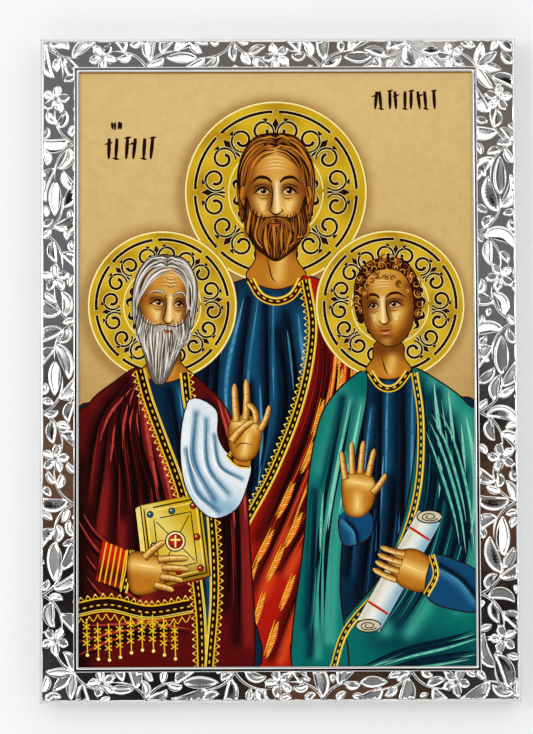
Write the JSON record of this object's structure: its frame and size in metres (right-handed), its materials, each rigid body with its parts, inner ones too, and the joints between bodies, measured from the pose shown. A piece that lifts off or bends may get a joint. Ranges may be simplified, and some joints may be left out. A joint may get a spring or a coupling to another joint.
{
  "type": "icon panel",
  "caption": "Rectangular devotional picture on a wooden board, held in a polished silver frame pressed with leafy sprays and flowers, lying on its back.",
  "frame": {"origin": "bottom centre of the bounding box, on the middle of the back", "axes": "+X to the picture's right, +Y to the picture's top, +Z out of the picture's face"},
  "size_m": [0.259, 0.36, 0.018],
  "materials": {
    "silver": "polished pressed silver",
    "picture": "painted picture under gloss varnish",
    "board": "stained wood, matt"
  },
  "bodies": {
    "root": {"silver_frame": "silver", "picture_panel": "picture", "backing_board": "board"}
  },
  "joints": []
}
